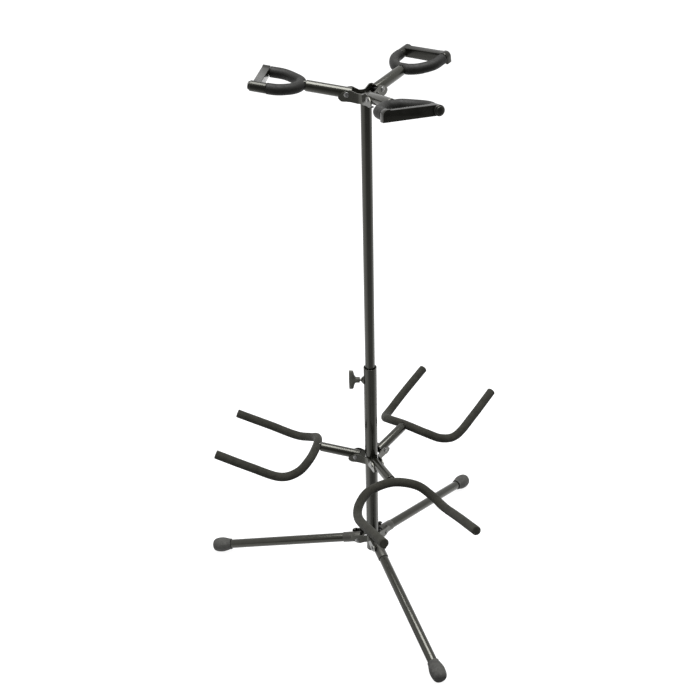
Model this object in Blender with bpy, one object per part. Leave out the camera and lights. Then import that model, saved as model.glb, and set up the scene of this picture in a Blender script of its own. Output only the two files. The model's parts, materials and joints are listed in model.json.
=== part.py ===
"""Triple guitar stand: a telescopic mast with three legs, three body cradles and three neck yokes.

Metres, +Z up. The floor is Z = 0 and the origin is the centre of the stand's outline in plan. Every
arm is drawn along +X of its own frame, with its pivot at the origin, and is then turned about the
mast. The upper tube turns in the lower one, so the top hub can stand a little round from the others.
"""

import math

import bmesh
import bpy
from mathutils import Matrix, Vector

# Driving dimensions
ARM_ANGLES = {"a": 180.0, "b": 300.0, "c": 60.0}
GAP = 0.0003
ARM_RADIUS = 0.0095
ARM_WALL = 0.0015
ARM_START = -0.0070
PIVOT_REACH = 0.031
PIN_RADIUS = 0.003

# Mast
LOWER_RADIUS = 0.0127
LOWER_WALL = 0.0015
LOWER_FOOT_Z = 0.055
LOWER_TOP_Z = 0.505
UPPER_RADIUS = 0.009525
UPPER_WALL = 0.0012
UPPER_FOOT_Z = 0.290
UPPER_TOP_Z = 1.036
BUSH_LENGTH = 0.040
BUSH_TOP_Z = 0.5005
CLAMP_Z = 0.4755
CLAMP_ANGLE = 186.0
SCREW_RADIUS = 0.003

# Hubs: height of the pivots
BASE_HUB_Z = 0.077
MIDDLE_HUB_Z = 0.295
TOP_HUB_Z = 1.041
TOP_TURN = 2.5
PLATE_THICKNESS = 0.002
PLATE_REACH = 0.045
HUB_CORE_RADIUS = 0.0127

# Legs and feet
LEG_SLOPE = 11.4
LEG_LENGTH = 0.318
LEG_SLEEVE_RADIUS = 0.01075
LEG_SLEEVE_END = 0.031
FOOT_START = 0.289
FOOT_END = 0.3276

# Cradles and yokes
ARM_RISE = 9.0
ROD_RADIUS = 0.00475
TONGUE_HALF_WIDTH = 0.0032
FOAM_RADIUS = 0.0086
COVER_RADIUS = 0.0092
CRADLE_TWIST = {"a": 8.5, "b": -8.5, "c": -4.5}
YOKE_TWIST = {"a": 0.0, "b": -2.3, "c": -1.4}
CRADLE_BEND = [(0.081, 0, 0), (0.087, 0.048, -0.009), (0.104, 0.075, -0.026)]
CRADLE_BEND += [(0.136, 0.088, -0.036), (0.195, 0.0905, -0.027), (0.265, 0.090, -0.015)]
YOKE_BEND = [(0.079, 0, 0), (0.080, 0.0125, 0), (0.0905, 0.0265, -0.001)]
YOKE_BEND += [(0.1115, 0.0400, -0.0013), (0.134, 0.0415, -0.0015)]
PRONG_OFFSET = 0.0415
PRONG_DROP = -0.0015
LATCH_PRONG_END = 0.1485
PIVOT_PRONG_END = 0.1550
COVER_END = {"pivot": 0.1280, "latch": 0.1372}

# Gates, in a frame on the pivot prong's axis
BARREL_RADIUS = 0.0088
BARREL_START = 0.1285
BARREL_END = 0.1555
BAR_START = 0.1378
BAR_END = 0.1508
BAR_HALF_HEIGHT = 0.0085
BAR_FACE = 0.0015
GATE_SPAN = 2 * PRONG_OFFSET
HOOK_HALF_WIDTH = 0.0090

TUBE_SIDES = 20
ARM_SIDES = 16
ROD_SIDES = 8
BORE_RADIUS = ROD_RADIUS / math.cos(math.pi / 8) + GAP
SOFT_SIDES = 10
PIN_SIDES = 10
BEND_STEPS = 2


# Scene helpers


def clear_scene():
    for obj in list(bpy.data.objects):
        bpy.data.objects.remove(obj, do_unlink=True)


def material(name, colour, roughness, metallic=0.0):
    made = bpy.data.materials.new(name)
    made.use_nodes = True
    shader = made.node_tree.nodes["Principled BSDF"]
    shader.inputs["Base Color"].default_value = (*colour, 1)
    shader.inputs["Roughness"].default_value = roughness
    shader.inputs["Metallic"].default_value = metallic
    return made


def empty(name, parent=None, location=(0, 0, 0), rotation=(0, 0, 0)):
    made = bpy.data.objects.new(name, None)
    bpy.context.collection.objects.link(made)
    made.parent = parent
    made.location = location
    made.rotation_euler = rotation
    return made


def add_object(name, mesh, parent, finish, sharp_degrees=40.0):
    """Puts a mesh into the scene as one named piece, with its origin at its parent's."""
    made = bpy.data.objects.new(name, mesh)
    bpy.context.collection.objects.link(made)
    made.parent = parent
    mesh.materials.clear()
    mesh.materials.append(finish)
    mesh.shade_smooth()
    mesh.set_sharp_from_angle(angle=math.radians(sharp_degrees))
    return made


def to_mesh(bm, name):
    bmesh.ops.recalc_face_normals(bm, faces=bm.faces)
    mesh = bpy.data.meshes.new(name)
    bm.to_mesh(mesh)
    bm.free()
    return mesh


def boolean(mesh, others, operation):
    """The mesh after a union with, or a cut by, each of the other meshes."""
    holder = bpy.data.objects.new("boolean_body", mesh)
    bpy.context.collection.objects.link(holder)
    tools = []
    for other in others:
        tool = bpy.data.objects.new("boolean_tool", other)
        bpy.context.collection.objects.link(tool)
        tools.append(tool)
        step = holder.modifiers.new("step", "BOOLEAN")
        step.operation = operation
        step.solver = "EXACT"
        step.object = tool
    graph = bpy.context.evaluated_depsgraph_get()
    result = bpy.data.meshes.new_from_object(holder.evaluated_get(graph))
    for obj in [holder, *tools]:
        bpy.data.objects.remove(obj, do_unlink=True)
    return result


# Shape helpers


def loft(rings, name, closed=False):
    """A skin over rings of points: capped at both ends, or joined end to end when closed."""
    bm = bmesh.new()
    loops = [[bm.verts.new(point) for point in ring] for ring in rings]
    pairs = list(zip(loops[:-1], loops[1:]))
    if closed:
        pairs.append((loops[-1], loops[0]))
    for first, second in pairs:
        count = len(first)
        for i in range(count):
            j = (i + 1) % count
            bm.faces.new((first[i], first[j], second[j], second[i]))
    if not closed:
        bm.faces.new(loops[0])
        bm.faces.new(loops[-1])
    return to_mesh(bm, name)


def ring_x(x, half_y, half_z, sides, squareness=1.0):
    """A ring round the X axis. Squareness under 1 makes the oval boxier."""
    ring = []
    for i in range(sides):
        turn = 2 * math.pi * i / sides
        y = math.copysign(abs(math.cos(turn)) ** squareness, math.cos(turn))
        z = math.copysign(abs(math.sin(turn)) ** squareness, math.sin(turn))
        ring.append(Vector((x, half_y * y, half_z * z)))
    return ring


def turned_x(profile, sides, name, closed=False):
    """A solid turned round the X axis from (x, radius) points."""
    rings = [ring_x(x, radius, radius, sides) for x, radius in profile]
    return loft(rings, name, closed)


def turned_z(profile, sides, name, closed=False):
    """A solid turned round the Z axis from (z, radius) points."""
    mesh = turned_x(profile, sides, name, closed)
    mesh.transform(Matrix.Rotation(math.radians(-90), 4, "Y"))
    return mesh


def tube_z(low, high, outer, inner, sides, name):
    profile = [(low, outer), (high, outer), (high, inner), (low, inner)]
    return turned_z(profile, sides, name, closed=True)


def cross_pin(x, z, radius, half_length, sides=PIN_SIDES):
    """A cylinder along Y through (x, z)."""
    mesh = turned_x([(-half_length, radius), (half_length, radius)], sides, "cross_pin")
    mesh.transform(Matrix.Rotation(math.radians(90), 4, "Z"))
    mesh.transform(Matrix.Translation((x, 0, z)))
    return mesh


def smooth_path(points, steps):
    """A Catmull-Rom curve through the points, leaving the first one straight along Y."""
    first, second = points[0], points[1]
    before = Vector((second.x, -second.y, second.z))
    after = 2 * points[-1] - points[-2]
    held = [before, *points, after]
    path = []
    for i in range(1, len(held) - 2):
        p0, p1, p2, p3 = held[i - 1 : i + 3]
        for step in range(steps):
            t = step / steps
            slope = (p2 - p0) * t
            bow = (2 * p0 - 5 * p1 + 4 * p2 - p3) * t * t
            turn = (3 * p1 - p0 - 3 * p2 + p3) * t * t * t
            path.append(0.5 * (2 * p1 + slope + bow + turn))
    path.append(points[-1].copy())
    return path


def sweep_rings(path, radius, sides):
    """Rings of one radius across a path, kept from twisting."""
    rings = []
    side = Vector((0, 0, 1))
    for i, point in enumerate(path):
        ahead = path[min(i + 1, len(path) - 1)] - path[max(i - 1, 0)]
        ahead.normalize()
        side = (side - side.dot(ahead) * ahead).normalized()
        other = ahead.cross(side)
        turns = [2 * math.pi * k / sides for k in range(sides)]
        rings.append([point + radius * (math.cos(a) * side + math.sin(a) * other) for a in turns])
    return rings


def clipped(path, start_y, end_x):
    """The part of a path that begins at side offset start_y and ends at reach end_x."""
    kept = []
    for here, there in zip(path[:-1], path[1:]):
        if not kept and there.y > start_y:
            share = max(0.0, (start_y - here.y) / (there.y - here.y))
            kept.append(here.lerp(there, share))
        if kept and there.x >= end_x:
            kept.append(here.lerp(there, (end_x - here.x) / (there.x - here.x)))
            return kept
        if kept and (there - kept[-1]).length > 0.002:
            kept.append(there)
    return kept


def mirrored(path):
    return [Vector((p.x, -p.y, p.z)) for p in path]


def sleeve(path, outer, inner, sides, name):
    """A hollow sleeve along a path, open at both ends."""
    outside = sweep_rings(path, outer, sides)
    inside = sweep_rings(path, inner, sides)
    return loft(outside + inside[::-1], name, closed=True)


# Mast


def lower_tube(finish, parent):
    inner = LOWER_RADIUS - LOWER_WALL
    tube = tube_z(LOWER_FOOT_Z, LOWER_TOP_Z, LOWER_RADIUS, inner, TUBE_SIDES, "lower_tube")
    boss = turned_x([(0.0118, 0.0085), (0.0135, 0.0075), (0.0170, 0.0045)], ARM_SIDES, "boss")
    boss.transform(Matrix.Translation((0, 0, CLAMP_Z)))
    hollow = turned_z([(CLAMP_Z - 0.02, inner), (CLAMP_Z + 0.02, inner)], TUBE_SIDES, "hollow")
    hole = turned_x([(0.005, SCREW_RADIUS + GAP), (0.020, SCREW_RADIUS + GAP)], PIN_SIDES, "hole")
    hole.transform(Matrix.Translation((0, 0, CLAMP_Z)))
    turn = Matrix.Rotation(math.radians(CLAMP_ANGLE), 4, "Z")
    boss.transform(turn)
    hole.transform(turn)
    bossed = boolean(tube, [boss], "UNION")
    add_object("lower_tube", boolean(bossed, [hollow, hole], "DIFFERENCE"), parent, finish)


def mast_plug(finish, parent):
    spigot = LOWER_RADIUS - LOWER_WALL - GAP
    top = LOWER_FOOT_Z - GAP
    profile = [(top - 0.004, 0.0115), (top - 0.003, 0.0127), (top, 0.0127)]
    profile += [(top, spigot), (top + 0.015, spigot), (top + 0.016, spigot - 0.001)]
    add_object("mast_plug", turned_z(profile, TUBE_SIDES, "mast_plug"), parent, finish)


def guide_bush(finish, parent):
    outer = LOWER_RADIUS - LOWER_WALL - GAP
    inner = UPPER_RADIUS + GAP
    low = BUSH_TOP_Z - BUSH_LENGTH
    bush = tube_z(low, BUSH_TOP_Z, outer, inner, TUBE_SIDES, "guide_bush")
    hole = turned_x([(0.005, SCREW_RADIUS + GAP), (0.020, SCREW_RADIUS + GAP)], PIN_SIDES, "hole")
    hole.transform(Matrix.Translation((0, 0, CLAMP_Z)))
    hole.transform(Matrix.Rotation(math.radians(CLAMP_ANGLE), 4, "Z"))
    add_object("guide_bush", boolean(bush, [hole], "DIFFERENCE"), parent, finish)


def upper_tube(finish, parent):
    inner = UPPER_RADIUS - UPPER_WALL
    tube = tube_z(UPPER_FOOT_Z, UPPER_TOP_Z, UPPER_RADIUS, inner, TUBE_SIDES, "upper_tube")
    add_object("upper_tube", tube, parent, finish)


def top_cap(finish, parent):
    spigot = UPPER_RADIUS - UPPER_WALL - GAP
    low = UPPER_TOP_Z + GAP
    profile = [(low - 0.013, spigot - 0.001), (low - 0.012, spigot), (low, spigot)]
    profile += [(low, UPPER_RADIUS), (low + 0.0015, UPPER_RADIUS), (low + 0.0025, 0.0080)]
    add_object("top_cap", turned_z(profile, TUBE_SIDES, "top_cap"), parent, finish)


def top_collar(finish, parent):
    """The ring that brings the upper tube out to the size the hub plates are bent for."""
    inner = UPPER_RADIUS + GAP
    low, high = TOP_HUB_Z - 0.0145, UPPER_TOP_Z - 0.001
    collar = tube_z(low, high, HUB_CORE_RADIUS, inner, TUBE_SIDES, "top_collar")
    add_object("top_collar", collar, parent, finish)


def clamp_screw(finish, parent):
    start = UPPER_RADIUS + GAP
    profile = [(start, SCREW_RADIUS - 0.0007), (start + 0.001, SCREW_RADIUS)]
    profile += [(0.0275, SCREW_RADIUS), (0.0280, SCREW_RADIUS - 0.0005)]
    add_object("clamp_screw", turned_x(profile, PIN_SIDES, "clamp_screw"), parent, finish)


def clamp_knob(finish, parent):
    """A wing knob: a round neck that flares into two wings, with a blind hole for the screw."""
    neck = 0.0057
    stations = [(0.0200, neck - 0.0006, neck - 0.0006), (0.0206, neck, neck)]
    stations += [(0.0270, neck, neck), (0.0292, 0.0058, 0.0078), (0.0308, 0.0060, 0.0120)]
    stations += [(0.0325, 0.0064, 0.0194), (0.0335, 0.0066, 0.0209), (0.0395, 0.0066, 0.0214)]
    stations += [(0.0407, 0.0054, 0.0202)]
    rings = [ring_x(x, y, z, ARM_SIDES) for x, y, z in stations]
    hole = turned_x([(0.0190, SCREW_RADIUS + GAP), (0.0284, SCREW_RADIUS + GAP)], PIN_SIDES, "hole")
    knob = boolean(loft(rings, "clamp_knob"), [hole], "DIFFERENCE")
    add_object("clamp_knob", knob, parent, finish)


# Hubs


def plate_plan(offset, bend):
    """Centre line of a plate seen from above: along one arm, round the mast, along the next arm."""
    corner = offset / math.sin(math.radians(60))
    centre = corner + bend / math.sin(math.radians(60))
    tangent = centre * math.cos(math.radians(60))
    reaches = [PLATE_REACH, 0.0425, 0.038, PIVOT_REACH, 0.024, 0.5 * (0.024 + tangent)]
    first = [Vector((reach, offset, 0)) for reach in reaches]
    middle = Vector((math.cos(math.radians(60)), math.sin(math.radians(60)), 0)) * centre
    for step in range(3):
        turn = math.radians(270 - 15 * step)
        first.append(middle + bend * Vector((math.cos(turn), math.sin(turn), 0)))
    axis = Vector((math.cos(math.radians(60)), math.sin(math.radians(60)), 0))
    second = [2 * point.dot(axis) * axis - point for point in first[-2::-1]]
    return first, first + second


def plate_edges(reach):
    """Lower and upper edge of a plate above its pivot, at a reach from the mast axis."""
    lower = [(0.0125, -0.0150), (0.024, -0.0125), (0.031, -0.0118), (0.0415, -0.0118)]
    lower += [(0.0425, -0.0095), (PLATE_REACH, -0.0060)]
    upper = [(0.0125, 0.0020), (0.018, 0.0045), (0.024, 0.0075), (0.031, 0.0070)]
    upper += [(0.038, 0.0035), (0.0425, 0.0000), (PLATE_REACH, -0.0030)]
    return along(lower, reach), along(upper, reach)


def along(line, x):
    for (x0, y0), (x1, y1) in zip(line[:-1], line[1:]):
        if x <= x1:
            share = max(0.0, (x - x0) / (x1 - x0))
            return y0 + share * (y1 - y0)
    return line[-1][1]


def hub_plate(offset, bend, flip):
    """One bent plate, with a hole for each rivet and a stop lip turned in under each arm."""
    half, plan = plate_plan(offset, bend)
    rings = []
    for i, point in enumerate(plan):
        ahead = plan[min(i + 1, len(plan) - 1)] - plan[max(i - 1, 0)]
        across = Vector((-ahead.y, ahead.x, 0)).normalized() * (0.5 * PLATE_THICKNESS)
        mirror = min(i, len(plan) - 1 - i)
        low, high = plate_edges(half[mirror].x if mirror < 6 else 0.0125)
        inner, outer = point - across, point + across
        corners = [(inner, low), (outer, low), (outer, high), (inner, high)]
        rings.append([Vector((p.x, p.y, z)) for p, z in corners])
    plate = loft(rings, "hub_plate")
    lips = [stop_lip(offset, 0)]
    lips.append(stop_lip(-offset, 120))
    hole = cross_pin(PIVOT_REACH, 0, PIN_RADIUS + GAP, 0.004)
    hole.transform(Matrix.Translation((0, offset, 0)))
    far_hole = cross_pin(PIVOT_REACH, 0, PIN_RADIUS + GAP, 0.004)
    far_hole.transform(Matrix.Translation((0, -offset, 0)))
    far_hole.transform(Matrix.Rotation(math.radians(120), 4, "Z"))
    plate = boolean(boolean(plate, lips, "UNION"), [hole, far_hole], "DIFFERENCE")
    if flip:
        plate.transform(Matrix.Scale(-1, 4, (0, 0, 1)))
        plate.flip_normals()
    return plate


def stop_lip(offset, turn_degrees):
    """A short shelf from a plate's lower edge in under the arm, which the arm rests on."""
    side = math.copysign(1.0, offset)
    outer = abs(offset)
    points = [(0.0378, outer), (0.0410, outer), (0.0410, outer - 0.0065), (0.0378, outer - 0.0065)]
    rings = [[Vector((x, side * y, z)) for x, y in points] for z in (-0.0117, -0.0099)]
    lip = loft(rings, "stop_lip")
    lip.transform(Matrix.Rotation(math.radians(turn_degrees), 4, "Z"))
    return lip


def rivet(half_length, head_radius):
    """A rivet along Y with a domed head on each side."""
    head = 0.0018
    start = half_length + head
    dome = [(start, head_radius * 0.45), (start - 0.0006, head_radius * 0.82)]
    dome += [(start - 0.0014, head_radius), (half_length, head_radius), (half_length, PIN_RADIUS)]
    profile = dome + [(-x, radius) for x, radius in dome[::-1]]
    mesh = turned_x(profile, PIN_SIDES, "rivet")
    mesh.transform(Matrix.Rotation(math.radians(90), 4, "Z"))
    return mesh


def hub(name, height, turn, offset, bend, flip, finishes, root):
    """Three plates between the arms and three rivets through them."""
    for letter, angle in ARM_ANGLES.items():
        frame = empty(f"{name}_frame_{letter}", root, (0, 0, height))
        frame.rotation_euler.z = math.radians(angle + turn)
        plate = hub_plate(offset, bend, flip)
        add_object(f"{name}_plate_{letter}", plate, frame, finishes["plate"], 30)
        pin = rivet(offset + 0.5 * PLATE_THICKNESS + GAP, 0.0046)
        pin.transform(Matrix.Translation((PIVOT_REACH, 0, 0)))
        add_object(f"{name}_rivet_{letter}", pin, frame, finishes["rivet"])


# Legs


def arm_frame(name, letter, height, hub_turn, slope, root):
    """An empty on an arm's pivot whose +X runs out along the arm."""
    turn = empty(f"{name}_turn_{letter}", root, (0, 0, height))
    turn.rotation_euler.z = math.radians(ARM_ANGLES[letter] + hub_turn)
    pivot = (PIVOT_REACH, 0, 0)
    return empty(f"{name}_frame_{letter}", turn, pivot, (0, math.radians(slope), 0))


def leg_tube():
    inner = ARM_RADIUS - ARM_WALL
    profile = [(ARM_START, ARM_RADIUS), (LEG_LENGTH, ARM_RADIUS), (LEG_LENGTH, inner)]
    profile.append((ARM_START, inner))
    tube = turned_x(profile, ARM_SIDES, "leg_tube", closed=True)
    return boolean(tube, [cross_pin(0, 0, PIN_RADIUS + GAP, 0.02)], "DIFFERENCE")


def leg_sleeve():
    inner = ARM_RADIUS + GAP
    low, high = ARM_START, LEG_SLEEVE_END
    profile = [(low, LEG_SLEEVE_RADIUS), (high - 0.0005, LEG_SLEEVE_RADIUS)]
    profile += [(high, LEG_SLEEVE_RADIUS - 0.0004), (high, inner), (low, inner)]
    tube = turned_x(profile, ARM_SIDES, "leg_sleeve", closed=True)
    return boolean(tube, [cross_pin(0, 0, PIN_RADIUS + GAP, 0.02)], "DIFFERENCE")


def foot():
    """A bulb over the end of the leg, worn to a flat where it meets the floor."""
    socket = ARM_RADIUS + GAP
    profile = [(LEG_LENGTH + GAP, socket), (FOOT_START, socket), (FOOT_START, 0.0108)]
    profile += [(0.2915, 0.0114), (0.2990, 0.0131), (0.3070, 0.0149), (0.3130, 0.0155)]
    profile += [(0.3185, 0.0153), (0.3230, 0.0136), (0.3262, 0.0104), (FOOT_END, 0.0055)]
    bm = bmesh.new()
    bm.from_mesh(turned_x(profile, ARM_SIDES, "foot"))
    to_world = Matrix.Rotation(math.radians(LEG_SLOPE), 3, "Y")
    floor_point = to_world.inverted() @ Vector((0, 0, -BASE_HUB_Z))
    up = to_world.inverted() @ Vector((0, 0, 1))
    geometry = bm.verts[:] + bm.edges[:] + bm.faces[:]
    cut = bmesh.ops.bisect_plane(
        bm, geom=geometry, plane_co=floor_point, plane_no=up, clear_inner=True
    )
    rim = [item for item in cut["geom_cut"] if isinstance(item, bmesh.types.BMEdge)]
    bmesh.ops.contextual_create(bm, geom=rim)
    return to_mesh(bm, "foot")


def leg(letter, finishes, root):
    frame = arm_frame("leg", letter, BASE_HUB_Z, 0.0, LEG_SLOPE, root)
    add_object(f"leg_tube_{letter}", leg_tube(), frame, finishes["tube"])
    add_object(f"leg_sleeve_{letter}", leg_sleeve(), frame, finishes["sleeve"])
    add_object(f"foot_{letter}", foot(), frame, finishes["rubber"], 60)


# Cradles and yokes


def welded_arm(name, bend, soft_radius, rod_ends, twist):
    """A tube closed to a tongue just short of the soft sleeves, welded to the bent rod that crosses it."""
    inner = ARM_RADIUS - ARM_WALL
    reach = bend[0][0]
    neck = reach - soft_radius - GAP
    full = neck - 0.0007
    stations = [(full - 0.001, inner, inner, 1.0, 0.0), (ARM_START, inner, inner, 1.0, 0.0)]
    stations += [(ARM_START, ARM_RADIUS, ARM_RADIUS, 1.0, 0.0)]
    stations += [(full, ARM_RADIUS, ARM_RADIUS, 1.0, 0.0)]
    stations += [(neck, ARM_RADIUS - 0.0007, ARM_RADIUS - 0.0007, 1.0, 0.0)]
    stations += [(neck + 0.0001, TONGUE_HALF_WIDTH, 0.0078, 0.7, twist)]
    stations += [(reach, TONGUE_HALF_WIDTH, 0.0064, 0.7, twist)]
    rings = []
    for x, y, z, square, turn in stations:
        roll = Matrix.Rotation(turn, 3, "X")
        rings.append([roll @ point for point in ring_x(x, y, z, ARM_SIDES, square)])
    tube = loft(rings, name)
    half = smooth_path([Vector(point) for point in bend], BEND_STEPS)
    left = clipped(half, 0.0, rod_ends[0])
    right = clipped(half, 0.0, rod_ends[1])
    path = mirrored(right)[:0:-1] + left
    rod = loft(sweep_rings(path, ROD_RADIUS, ROD_SIDES), "rod")
    rod.transform(Matrix.Rotation(twist, 4, "X"))
    arm = boolean(tube, [rod], "UNION")
    return boolean(arm, [cross_pin(0, 0, PIN_RADIUS + GAP, 0.02)], "DIFFERENCE")


def cradle(letter, finishes, root):
    frame = arm_frame("cradle", letter, MIDDLE_HUB_Z, 0.0, -ARM_RISE, root)
    twist = math.radians(CRADLE_TWIST[letter])
    tip = CRADLE_BEND[-1][0]
    arm = welded_arm("cradle_arm", CRADLE_BEND, FOAM_RADIUS, (tip, tip), twist)
    add_object(f"cradle_arm_{letter}", arm, frame, finishes["tube"])
    half = smooth_path([Vector(point) for point in CRADLE_BEND], BEND_STEPS)
    path = clipped(half, TONGUE_HALF_WIDTH + GAP, tip + 0.001)
    for side, line in (("left", path), ("right", mirrored(path))):
        foam = sleeve(line, FOAM_RADIUS, BORE_RADIUS, SOFT_SIDES, "foam")
        foam.transform(Matrix.Rotation(twist, 4, "X"))
        add_object(f"foam_{side}_{letter}", foam, frame, finishes["foam"], 60)


def yoke(letter, finishes, root):
    frame = arm_frame("yoke", letter, TOP_HUB_Z, TOP_TURN, -ARM_RISE, root)
    twist = math.radians(YOKE_TWIST[letter])
    bend = [*YOKE_BEND, (PIVOT_PRONG_END, PRONG_OFFSET, PRONG_DROP)]
    ends = (PIVOT_PRONG_END, LATCH_PRONG_END)
    arm = welded_arm("yoke_arm", bend, COVER_RADIUS, ends, twist)
    add_object(f"yoke_arm_{letter}", arm, frame, finishes["tube"])
    turned = empty(f"yoke_twist_{letter}", frame, (0, 0, 0), (twist, 0, 0))
    half = smooth_path([Vector(point) for point in bend], BEND_STEPS)
    pivot_side = clipped(half, TONGUE_HALF_WIDTH + GAP, COVER_END["pivot"])
    latch_side = mirrored(clipped(half, TONGUE_HALF_WIDTH + GAP, COVER_END["latch"]))
    for side, line in (("left", pivot_side), ("right", latch_side)):
        cover = sleeve(line, COVER_RADIUS, BORE_RADIUS, SOFT_SIDES, "cover")
        add_object(f"yoke_cover_{side}_{letter}", cover, turned, finishes["cover"], 60)
    gate_frame = empty(f"gate_frame_{letter}", turned, (0, PRONG_OFFSET, PRONG_DROP))
    add_object(f"gate_{letter}", gate(), gate_frame, finishes["gate"], 35)
    add_object(f"gate_cap_{letter}", gate_cap(), gate_frame, finishes["gate"], 35)


def gate_outline():
    """Front view of the bar and the crown over its hook, as (y, z) from the pivot prong's axis."""
    hook = -GATE_SPAN
    half = HOOK_HALF_WIDTH
    outline = [(0.0, -BAR_HALF_HEIGHT), (hook - half, -BAR_HALF_HEIGHT - 0.0008)]
    outline += [(hook + half * math.cos(a), 0.0010 + half * math.sin(a)) for a in steps_of(180, 60, 4)]
    outline += [(hook + 0.0120, BAR_HALF_HEIGHT), (0.0, BAR_HALF_HEIGHT)]
    return outline


def hook_slot():
    """The space for the latch prong: open below and on the inner side, closed by the bar's face."""
    hook = -GATE_SPAN
    slot = BORE_RADIUS
    sides = [(hook + slot, -0.0125)]
    sides += [(hook + slot * math.cos(a), slot * math.sin(a)) for a in steps_of(0, 180, 6)]
    sides += [(hook - slot, -0.0125)]
    reach = (BAR_START - 0.002, BAR_END - BAR_FACE)
    return loft([[Vector((x, y, z)) for y, z in sides] for x in reach], "hook_slot")


def steps_of(start, end, count):
    return [math.radians(start + (end - start) * i / count) for i in range(count + 1)]


def gate():
    """The flip gate: a barrel round the pivot prong, a bar across, and a hook over the other."""
    rings = [[Vector((x, y, z)) for y, z in gate_outline()] for x in (BAR_START, BAR_END)]
    bar = loft(rings, "bar")
    barrel = [(BARREL_START, BARREL_RADIUS - 0.0006), (BARREL_START + 0.0006, BARREL_RADIUS)]
    barrel += [(BARREL_END - 0.0006, BARREL_RADIUS), (BARREL_END, BARREL_RADIUS - 0.0006)]
    ends = [(BARREL_START - 0.01, BORE_RADIUS), (BARREL_END + 0.01, BORE_RADIUS)]
    hole = turned_x(ends, PIN_SIDES, "hole")
    joined = boolean(bar, [turned_x(barrel, ARM_SIDES, "barrel")], "UNION")
    return boolean(joined, [hole, hook_slot()], "DIFFERENCE")


def gate_cap():
    """The domed cap on the end of the pivot prong that keeps the gate on."""
    start = BARREL_END + GAP
    profile = [(start, 0.0070), (start + 0.0016, 0.0070), (start + 0.0026, 0.0060)]
    profile += [(start + 0.0030, 0.0035)]
    return turned_x(profile, ARM_SIDES, "gate_cap")


def centre_in_plan(root):
    """Moves the stand so that the origin is the centre of its outline seen from above."""
    bpy.context.view_layer.update()
    xs, ys = [], []
    for obj in bpy.context.scene.objects:
        if obj.type == "MESH":
            corners = [obj.matrix_world @ vert.co for vert in obj.data.vertices]
            xs += [corner.x for corner in corners]
            ys += [corner.y for corner in corners]
    root.location.x = -0.5 * (min(xs) + max(xs))
    root.location.y = -0.5 * (min(ys) + max(ys))
    bpy.context.view_layer.update()


def main():
    clear_scene()
    paint = material("black_paint", (0.030, 0.030, 0.028), 0.35, 0.2)
    finishes = {
        "tube": paint,
        "plate": material("plate_paint", (0.035, 0.035, 0.033), 0.28, 0.3),
        "rivet": material("blackened_steel", (0.10, 0.10, 0.10), 0.35, 0.8),
        "sleeve": material("sleeve_paint", (0.040, 0.038, 0.036), 0.40, 0.1),
        "rubber": material("grey_rubber", (0.095, 0.095, 0.088), 0.75),
        "foam": material("charcoal_foam", (0.040, 0.040, 0.034), 0.90),
        "cover": material("soft_cover", (0.060, 0.060, 0.053), 0.65),
        "gate": material("gate_plastic", (0.030, 0.030, 0.028), 0.25),
        "bush": material("guide_plastic", (0.050, 0.050, 0.048), 0.5),
        "knob": material("knob_plastic", (0.045, 0.045, 0.040), 0.45),
        "screw": material("zinc_steel", (0.45, 0.45, 0.43), 0.35, 0.9),
    }
    root = empty("stand")
    lower_tube(finishes["tube"], root)
    mast_plug(finishes["bush"], root)
    guide_bush(finishes["bush"], root)
    upper_tube(finishes["tube"], root)
    top_cap(finishes["bush"], root)
    top_collar(finishes["tube"], root)
    clamp = empty("clamp_frame", root, (0, 0, CLAMP_Z), (0, 0, math.radians(CLAMP_ANGLE)))
    clamp_screw(finishes["screw"], clamp)
    clamp_knob(finishes["knob"], clamp)
    arm_offset = ARM_RADIUS + GAP + 0.5 * PLATE_THICKNESS
    leg_offset = LEG_SLEEVE_RADIUS + GAP + 0.5 * PLATE_THICKNESS
    hub("base", BASE_HUB_Z, 0.0, leg_offset, 0.006, True, finishes, root)
    hub("middle", MIDDLE_HUB_Z, 0.0, arm_offset, 0.011, False, finishes, root)
    hub("top", TOP_HUB_Z, TOP_TURN, arm_offset, 0.011, False, finishes, root)
    for letter in ARM_ANGLES:
        leg(letter, finishes, root)
        cradle(letter, finishes, root)
        yoke(letter, finishes, root)
    centre_in_plan(root)


main()
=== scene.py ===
"""Looks for the triple guitar stand: its finishes, and the rounder and softer shapes of its pieces.

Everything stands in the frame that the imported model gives. The tubes, arms, gates, rivets, feet, clamp
and soft pieces are drawn here, each in place of the plain solids that stand for it. A piece on an arm
or a leg is drawn along +X with the pivot at the origin. The hub plates, the collar, the plastic guide,
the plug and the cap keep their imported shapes.
"""

import json
import math

import bmesh
import bpy
from mathutils import Matrix, Vector, noise


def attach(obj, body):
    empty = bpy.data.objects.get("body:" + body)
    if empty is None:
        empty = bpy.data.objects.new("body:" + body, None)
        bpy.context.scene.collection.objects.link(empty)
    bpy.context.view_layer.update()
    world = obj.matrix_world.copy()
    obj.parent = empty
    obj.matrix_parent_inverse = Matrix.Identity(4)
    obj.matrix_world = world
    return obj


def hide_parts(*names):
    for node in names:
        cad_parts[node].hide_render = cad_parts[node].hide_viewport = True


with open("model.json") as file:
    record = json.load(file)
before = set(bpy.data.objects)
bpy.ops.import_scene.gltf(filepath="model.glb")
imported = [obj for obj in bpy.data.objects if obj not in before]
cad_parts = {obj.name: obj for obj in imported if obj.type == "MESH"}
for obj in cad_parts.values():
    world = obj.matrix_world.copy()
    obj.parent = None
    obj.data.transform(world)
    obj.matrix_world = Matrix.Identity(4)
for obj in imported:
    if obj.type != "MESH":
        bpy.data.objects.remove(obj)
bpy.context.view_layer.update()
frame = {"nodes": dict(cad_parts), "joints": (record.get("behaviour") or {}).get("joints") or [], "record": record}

LETTERS = "abc"
NODES = frame["nodes"]
JOINTS = {joint["name"]: joint for joint in frame["joints"]}

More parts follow.
